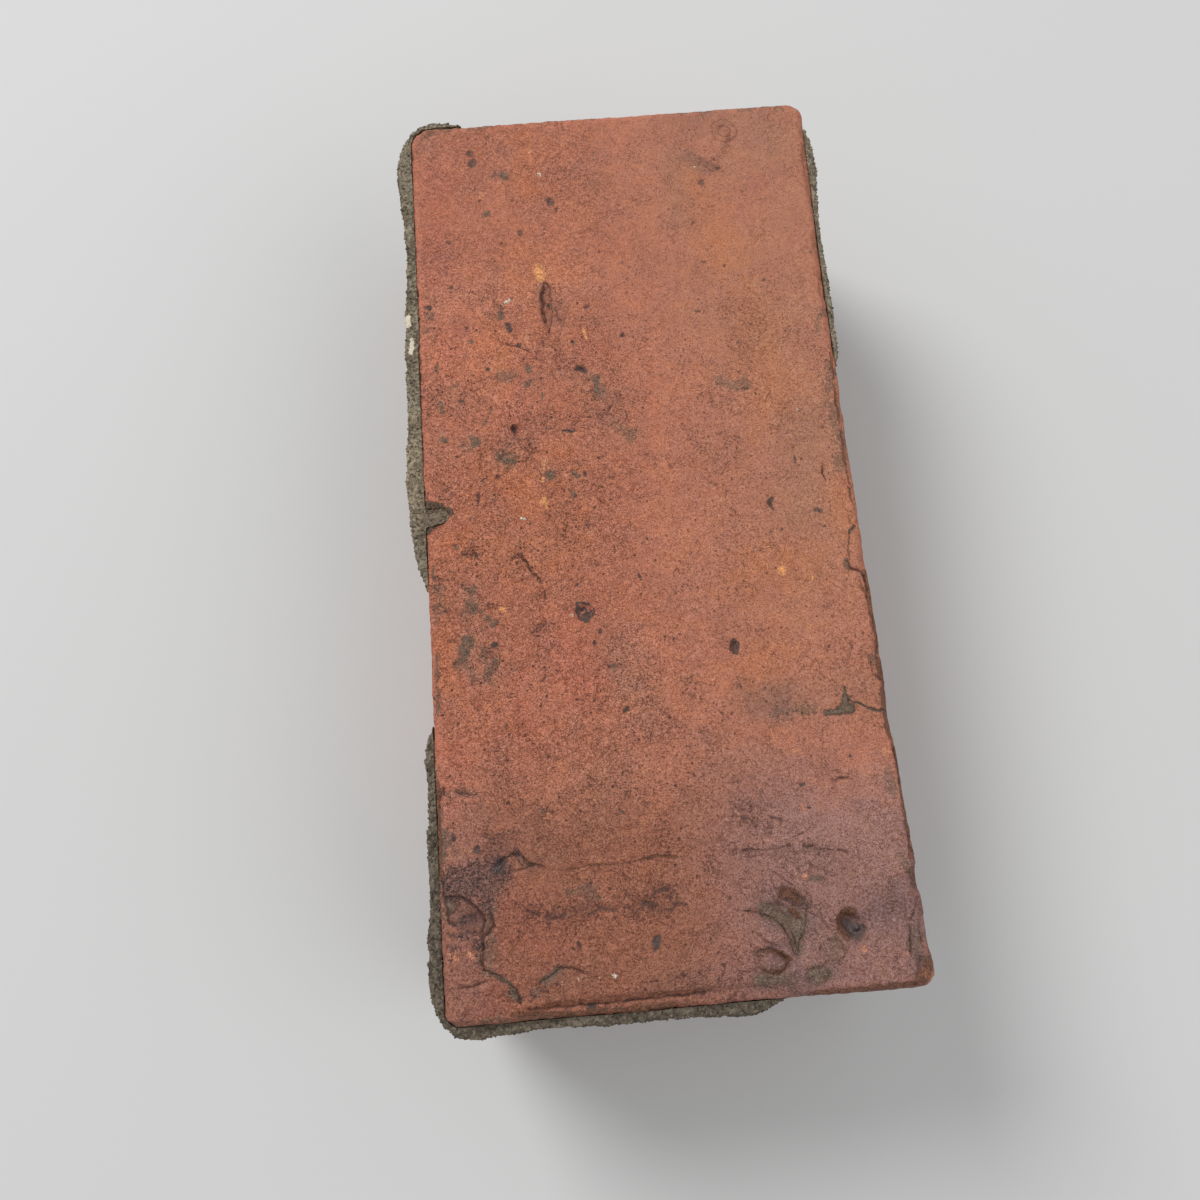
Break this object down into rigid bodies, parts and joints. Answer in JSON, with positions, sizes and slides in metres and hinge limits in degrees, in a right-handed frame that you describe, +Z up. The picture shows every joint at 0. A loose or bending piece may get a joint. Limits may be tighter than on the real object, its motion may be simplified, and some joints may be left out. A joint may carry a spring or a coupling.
{
  "type": "clay brick",
  "caption": "Reclaimed solid clay brick with flat beds, worn and chipped arrises, small pits and crusts of old mortar on its sides.",
  "frame": {"origin": "centre of the lower bed, the large flat face that the brick lies on", "axes": "+X across the width, +Y along the length towards the end with the rounded corner, +Z up through the height from the lower bed to the upper bed"},
  "size_m": [0.1135, 0.2325, 0.065],
  "materials": {
    "fired_clay": "matte fired clay, slightly rough",
    "old_mortar": "rough sandy mortar"
  },
  "bodies": {
    "root": {"brick": "fired_clay", "mortar_left_far": "old_mortar", "mortar_near_corner": "old_mortar", "mortar_right_far": "old_mortar"}
  },
  "joints": []
}
